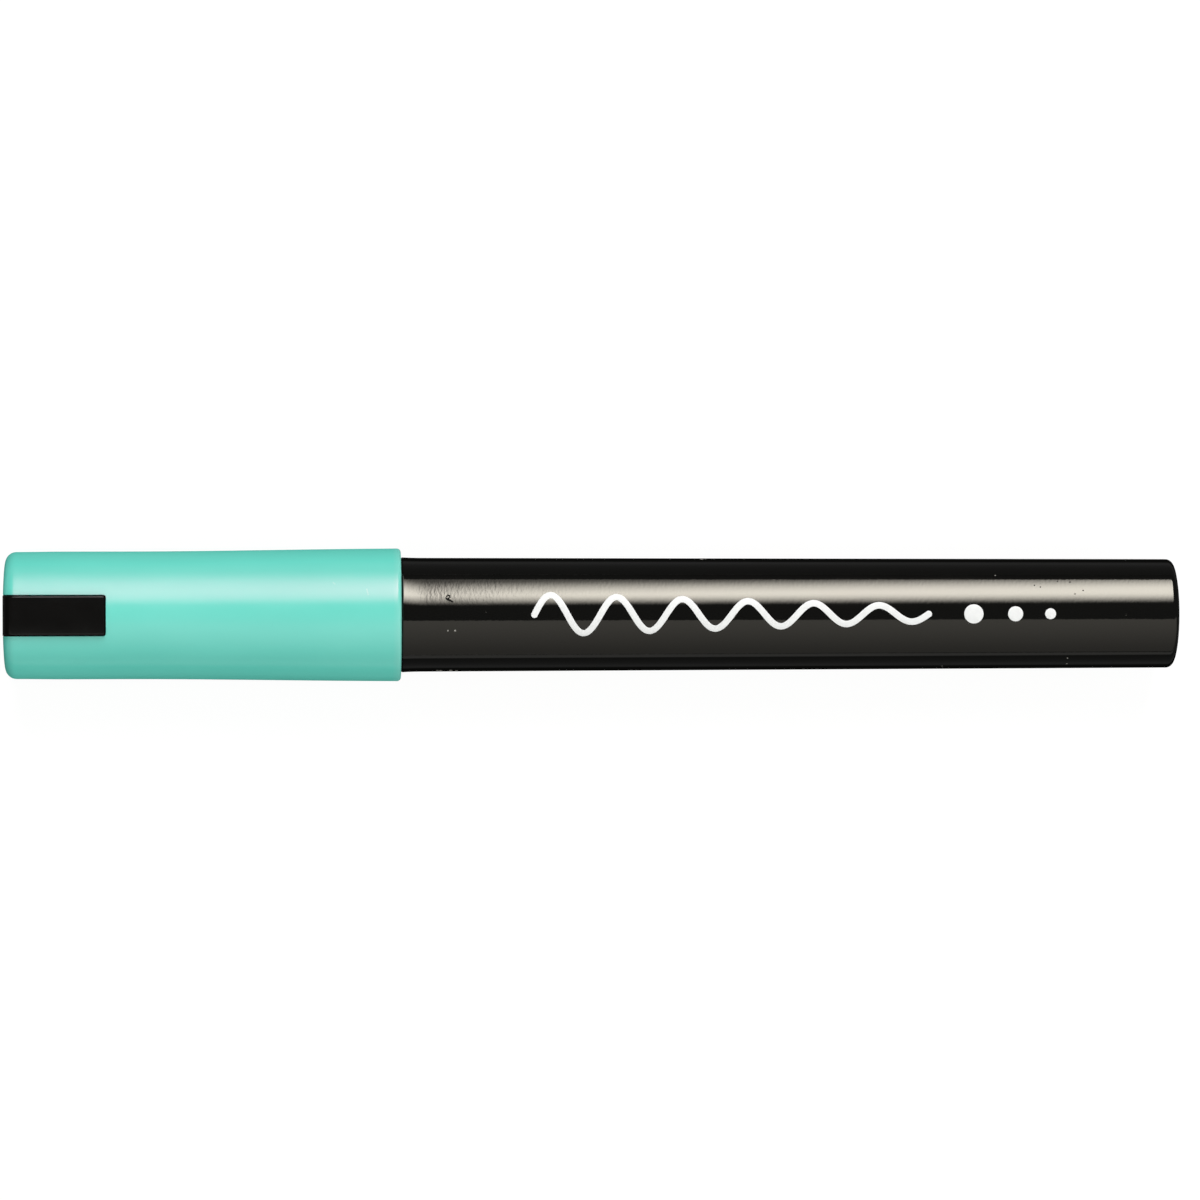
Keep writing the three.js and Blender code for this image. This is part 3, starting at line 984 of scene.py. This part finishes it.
# Cap shell
# Turquoise moulded sleeve that flares towards its mouth. A slot from its closed end takes the insert's
# bar, a web inside holds the inner cap, and six small ribs inside the mouth grip the barrel.
cap_length = station_of(cap_high.x)
cap_mouth_radius = (cap_high.y - cap_low.y) / 2 / mm
cap_flare = 0.32
cap_flare_start = 14
cap_flare_length = 36
cap_end_rounding = 1.3
cap_end_taper = 0.045
cap_end_taper_length = 5.5
cap_mouth_rounding = 0.45
cap_socket_radius = 5.93
cap_web_front = 3.05
cap_web_back = 4.25
cap_web_hole = 4.7
cap_bore = 6.38
cap_bore_draft = 0.15
cap_step_station = 34.6
cap_step_length = 0.5
cap_mouth_bore = 7.0
cap_outline_steps = 24
slot_width = 4.92
slot_end = 12.19
slot_tip_rounding = 0.36
slot_foot = cap_bore - 0.1
slot_rim_foot = 3
slot_top = 9
rib_count = 6
rib_width = 0.9
rib_end = cap_length - 1.6
rib_start = rib_end - 6.5
rib_inner_radius = 6.91
rib_root_radius = cap_mouth_bore + 0.4
# Width of the painted highlight just before the cap's mouth
mouth_sheen_width = 1

# Scratches on the cap, each spot (station, degrees from the top towards +Y, radius)
cap_scratches = (
    (42.95, 22.5, 0.1),
    (43, 21, 0.1),
    (43.05, 19.5, 0.1),
    (43.1, 18, 0.09),
    (39, 29, 0.09),
    (39.15, 28, 0.09),
)


def smooth_rise(share):
    """Zero up to a share of zero, one from a share of one, and an S-shaped rise in between."""
    share = min(1, max(0, share))
    return share * share * (3 - 2 * share)


def cap_radius(station):
    """The sleeve's outer radius, which tapers slightly at the closed end and flares towards the mouth."""
    flare = smooth_rise((station - cap_flare_start) / cap_flare_length)
    full_flare = smooth_rise((cap_length - cap_flare_start) / cap_flare_length)
    taper = 1 - smooth_rise((station - cap_end_rounding) / cap_end_taper_length)
    return cap_mouth_radius - cap_flare + cap_flare * flare / full_flare - cap_end_taper * taper


def cap_shell_mesh():
    first = cap_end_rounding + 1
    last = cap_length - 2 * cap_mouth_rounding
    outside = []
    for step in range(cap_outline_steps + 1):
        station = first + (last - first) * step / cap_outline_steps
        outside.append((station, cap_radius(station), 0))
    shell = turned(
        "cap_sleeve",
        [
            (0, cap_socket_radius, 0.12),
            (0, cap_radius(cap_end_rounding), cap_end_rounding),
            *outside,
            (cap_length, cap_radius(cap_length), cap_mouth_rounding),
            (cap_length, cap_mouth_bore, 0.25),
            (cap_step_station + cap_step_length, cap_mouth_bore, 0.3),
            (cap_step_station, cap_bore + cap_bore_draft, 0),
            (cap_web_back, cap_bore, 0.2),
            (cap_web_back, cap_web_hole, 0.1),
            (cap_web_front, cap_web_hole, 0.1),
            (cap_web_front, cap_socket_radius, 0),
        ],
        closed=True,
    )
    slot_wall = block(
        "slot_wall",
        -cutter_overshoot,
        slot_end,
        slot_width,
        slot_foot,
        slot_top,
        tip_rounding=slot_tip_rounding,
    )
    shell = boolean(shell, slot_wall, "DIFFERENCE")
    slot_rim = block("slot_rim", -cutter_overshoot, cap_web_front, slot_width, slot_rim_foot, slot_top)
    shell = boolean(shell, slot_rim, "DIFFERENCE")
    for i in range(rib_count):
        turn = math.tau * (i + 0.5) / rib_count
        rib = block("rib", rib_start, rib_end, rib_width, rib_inner_radius, rib_root_radius, turn)
        shell = boolean(shell, rib, "UNION")
    return shell


def cap_finish():
    """Satin turquoise plastic: cloudy flow marks, a painted highlight at the mouth, a fine grain and two
    light scratches.
    """
    deep_turquoise = (0.133, 0.642, 0.551)
    light_turquoise = (0.147, 0.668, 0.575)
    # The next colour is a painted highlight, the sheen on the mouth's rounding
    painted_mouth_sheen = (0.205, 0.655, 0.575)
    scratch_colour = (0.6, 0.85, 0.8)
    reddish_gloss = (1, 0.34, 0.54, 1)
    finish = Finish("satin_turquoise_plastic", (0.14, 0.655, 0.563), 0.25)
    flow = finish.noise(5, 3, finish.scaled_along(0.35))
    colour = finish.mixed(finish.ramp(flow, 0.3, 0.7), deep_turquoise, light_turquoise)
    # Painted highlight: the last millimetre before the mouth is mixed towards a paler colour, standing for
    # the sheen on its rounding
    rim = finish.ramp(finish.coordinate("X"), along(cap_length - mouth_sheen_width), along(cap_length))
    colour = finish.mixed(rim, colour, painted_mouth_sheen)
    scratches = finish.maths("MULTIPLY", finish.spots(cap_scratches, cap_radius), 0.3)
    finish.colour(finish.mixed(scratches, colour, scratch_colour))
    finish.bump(finish.noise(0.25, 3), 0.0016)
    finish.roughness(finish.ramp(finish.noise(7, 2), 0.3, 0.7, 0.22, 0.27))
    finish.gloss(finish.quiet_edges(0.25, 0.4, 0.7, 0.006))
    finish.shader.inputs["Specular Tint"].default_value = reddish_gloss
    return finish.material


cap_shell = cap_shell_mesh()
cap_shell.data.materials.append(cap_finish())
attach(cap_shell, "cap")
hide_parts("cap_shell")


# Cap insert
# Black plastic moulding pushed into the closed end of the sleeve: a disc that closes the end, and a bar
# that lies in the sleeve's slot, a little proud of it, and wraps over the rounded end.
_, insert_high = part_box("cap_insert")
disc_radius = 5.77
disc_thickness = 1.9
bar_gap = 0.1
bar_length = slot_end - bar_gap
bar_width = slot_width - 2 * bar_gap
bar_top = (insert_high.z - axis_height) / mm
bar_thickness = 1.4
bar_edge_rounding = 0.22
bar_end_rounding = cap_end_rounding
touching = 0.01


def disc_mesh():
    return turned(
        "end_insert",
        [
            (gate_dimple_depth, 0, 0),
            (gate_dimple_depth, gate_dimple_radius - gate_dimple_depth, 0),
            (0, gate_dimple_radius, gate_dimple_rounding),
            (0, disc_radius, 0.15),
            (disc_thickness, disc_radius, 0.1),
            (disc_thickness, 0, 0),
        ],
    )


def bar_mesh():
    """The bar's side outline, drawn out across, with its edges rounded wherever they show."""
    bm = bmesh.new()
    foot = disc_radius - bar_width / 2
    underside = bar_top - bar_thickness
    outline = [
        (0, foot, 0),
        (0, bar_top, bar_end_rounding),
        (bar_length, bar_top, bar_edge_rounding),
        (bar_length, underside, 0.1),
        (disc_thickness, underside, 0.15),
        (disc_thickness, foot, 0),
    ]
    half = bar_width / 2 * mm
    rim = []
    for station, height in rounded(outline):
        rim.append(bm.verts.new((along(station), -half, axis_height + height * mm)))
    made = bmesh.ops.extrude_face_region(bm, geom=[bm.faces.new(rim)])
    moved = [item for item in made["geom"] if isinstance(item, bmesh.types.BMVert)]
    bmesh.ops.translate(bm, vec=(0, 2 * half, 0), verts=moved)
    bmesh.ops.recalc_face_normals(bm, faces=bm.faces)
    half_way_up = axis_height + (bar_top - bar_thickness / 2) * mm
    outer = []
    for edge in bm.edges:
        first, second = (vert.co for vert in edge.verts)
        on_side = abs(first.y - second.y) < half and abs(abs(first.y) - half) < touching * mm
        on_top = max(first.z, second.z) > half_way_up
        on_end = max(first.x, second.x) < along(touching)
        if on_side and (on_top or on_end):
            outer.append(edge)
    round_edges(bm, outer, bar_edge_rounding)
    return finish_mesh("bar", bm)


def insert_finish():
    """Smooth black plastic with a satin gloss that dies away on its rounded edges."""
    finish = Finish("smooth_black_plastic", (0.0038, 0.0036, 0.0034), 0.17)
    finish.bump(finish.noise(0.2, 3), 0.001)
    finish.roughness(finish.ramp(finish.noise(2.5, 3), 0.3, 0.7, 0.14, 0.2))
    finish.gloss(finish.quiet_edges(0.05, 0.12, 0.5, 0.01))
    return finish.material


insert = boolean(disc_mesh(), bar_mesh(), "UNION")
insert.data.materials.append(insert_finish())
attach(insert, "cap")
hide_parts("cap_insert")


# Floor
# A wide sheet of paper under the marker. It gives its own light to the camera and to reflections, so
# that it shows white there, and throws little light back onto the marker.
floor_reach = 4
floor_grey = (0.12, 0.12, 0.12)
floor_glow = 0.91


def floor_mesh():
    bm = bmesh.new()
    bmesh.ops.create_grid(bm, x_segments=1, y_segments=1, size=floor_reach)
    return finish_mesh("floor", bm)


def floor_finish():
    """Matt paper that shows nearly white to the camera and in reflections, and keeps the shadow."""
    finish = Finish("pale_paper", floor_grey, 1)
    rays = finish.node("ShaderNodeLightPath")
    seen = finish.maths("MAXIMUM", rays.outputs["Is Camera Ray"], rays.outputs["Is Glossy Ray"])
    seen = finish.maths("MAXIMUM", seen, rays.outputs["Is Transmission Ray"])
    finish.shader.inputs["Specular IOR Level"].default_value = 0
    finish.shader.inputs["Emission Color"].default_value = (1, 1, 1, 1)
    glow = finish.maths("MULTIPLY", seen, floor_glow)
    finish.link(glow, finish.shader, "Emission Strength")
    return finish.material


floor = floor_mesh()
floor.data.materials.append(floor_finish())


# Lights
# One softbox behind the marker makes the barrel's bright band, and another lights the cap. A dim
# reflector in front makes the barrel's grey band. Two panels that no gloss shows, one nearly overhead
# and one past the barrel's end, soften the light.
warm_white = (1, 0.97, 0.93)
pale_green = (0.97, 1, 0.95)
room_glow = 0.03


class Softbox:
    """A rectangular lamp over the marker, between two angles from straight up, positive towards +Y."""

    def __init__(self, name, first_angle, last_angle, distance, left, right, strength, colour):
        middle = math.radians((first_angle + last_angle) / 2)
        self.lamp = bpy.data.lights.new(name, "AREA")
        self.lamp.shape = "RECTANGLE"
        self.lamp.size = right - left
        self.lamp.size_y = 2 * distance * math.tan(math.radians(last_angle - first_angle) / 2)
        self.lamp.energy = strength * math.pi * self.lamp.size * self.lamp.size_y
        self.lamp.color = colour
        self.stand = bpy.data.objects.new(name, self.lamp)
        self.stand.location = (
            (left + right) / 2,
            distance * math.sin(middle),
            axis_height + distance * math.cos(middle),
        )
        self.stand.rotation_euler = (-middle, 0, 0)
        self.stand.visible_camera = False
        bpy.context.scene.collection.objects.link(self.stand)

    def graded(self):
        """Starts a gradient over the lamp's face, and gives the shares of the way across it, along X and
        from the first angle to the last."""
        self.lamp.use_nodes = True
        self.tree = self.lamp.node_tree
        face = self.tree.nodes.new("ShaderNodeNewGeometry")
        split = self.tree.nodes.new("ShaderNodeSeparateXYZ")
        self.tree.links.new(face.outputs["Parametric"], split.inputs[0])
        return split.outputs["X"], split.outputs["Y"]

    def sum_of(self, first, second, share):
        """First plus share times second."""
        maths = self.tree.nodes.new("ShaderNodeMath")
        maths.operation = "MULTIPLY_ADD"
        self.tree.links.new(second, maths.inputs[0])
        maths.inputs[1].default_value = share
        self.tree.links.new(first, maths.inputs[2])
        return maths.outputs[0]

    def slope(self, value, low, high, to_low=0, to_high=1):
        """Goes smoothly from to_low to to_high while value goes from low to high."""
        ramp = self.tree.nodes.new("ShaderNodeMapRange")
        ramp.interpolation_type = "SMOOTHSTEP"
        ramp.inputs["From Min"].default_value = low
        ramp.inputs["From Max"].default_value = high
        ramp.inputs["To Min"].default_value = to_low
        ramp.inputs["To Max"].default_value = to_high
        self.tree.links.new(value, ramp.inputs["Value"])
        return ramp.outputs["Result"]

    def dimmed(self, *shares):
        """Dims the lamp's face by the product of all shares."""
        product = shares[0]
        for share in shares[1:]:
            maths = self.tree.nodes.new("ShaderNodeMath")
            maths.operation = "MULTIPLY"
            self.tree.links.new(product, maths.inputs[0])
            self.tree.links.new(share, maths.inputs[1])
            product = maths.outputs[0]
        self.tree.links.new(product, self.tree.nodes["Emission"].inputs["Strength"])


key = Softbox(
    "softbox",
    first_angle=14,
    last_angle=76.5,
    distance=4,
    left=-0.05,
    right=1.1,
    strength=13.5,
    colour=warm_white,
)
along_key, round_key = key.graded()
upper_fade = key.slope(key.sum_of(round_key, along_key, -0.12), 0.05, 0.43)
lower_fade = key.slope(key.sum_of(round_key, along_key, -0.38), 0.88, 0.32, 0.07, 1)
left_fade = key.slope(along_key, -0.03, 0.2)
key.dimmed(upper_fade, lower_fade, left_fade)

cap_key = Softbox(
    "cap_softbox",
    first_angle=24,
    last_angle=86,
    distance=4,
    left=-0.75,
    right=-0.03,
    strength=5.8,
    colour=(1, 1, 1),
)
along_cap_key, round_cap_key = cap_key.graded()
cap_right_fade = cap_key.slope(along_cap_key, 1, 0.75)
cap_lower_fade = cap_key.slope(round_cap_key, 0.5, 0.9, 1, 0.3)
cap_key.dimmed(cap_right_fade, cap_lower_fade)

fill = Softbox(
    "reflector",
    first_angle=-90,
    last_angle=-11.8,
    distance=1.2,
    left=-2.2,
    right=2.4,
    strength=0.64,
    colour=warm_white,
)
_, round_fill = fill.graded()
fill.dimmed(fill.slope(round_fill, 0, 1, 0.36, 1))


def soft_panel(name, tilt, lean, distance, size, strength):
    """A square lamp that no gloss shows. From straight over the marker's middle it is tilted towards +X
    and leant towards -Y, by degrees."""
    lamp = bpy.data.lights.new(name, "AREA")
    lamp.shape = "SQUARE"
    lamp.size = size
    lamp.energy = strength * math.pi * size * size
    lamp.color = pale_green
    stand = bpy.data.objects.new(name, lamp)
    middle = Matrix.Translation((0, 0, axis_height))
    turn = Matrix.Rotation(math.radians(lean), 4, "X") @ Matrix.Rotation(math.radians(tilt), 4, "Y")
    stand.matrix_world = middle @ turn @ Matrix.Translation((0, 0, distance))
    stand.visible_camera = False
    stand.visible_glossy = False
    bpy.context.scene.collection.objects.link(stand)


soft_panel("left_panel", tilt=-12, lean=22, distance=1.5, size=2, strength=0.84)
soft_panel("right_panel", tilt=55, lean=22, distance=1.5, size=2, strength=1)

world = bpy.data.worlds.new("room")
world.use_nodes = True
world.node_tree.nodes["Background"].inputs["Color"].default_value = (1, 1, 1, 1)
world.node_tree.nodes["Background"].inputs["Strength"].default_value = room_glow
bpy.context.scene.world = world
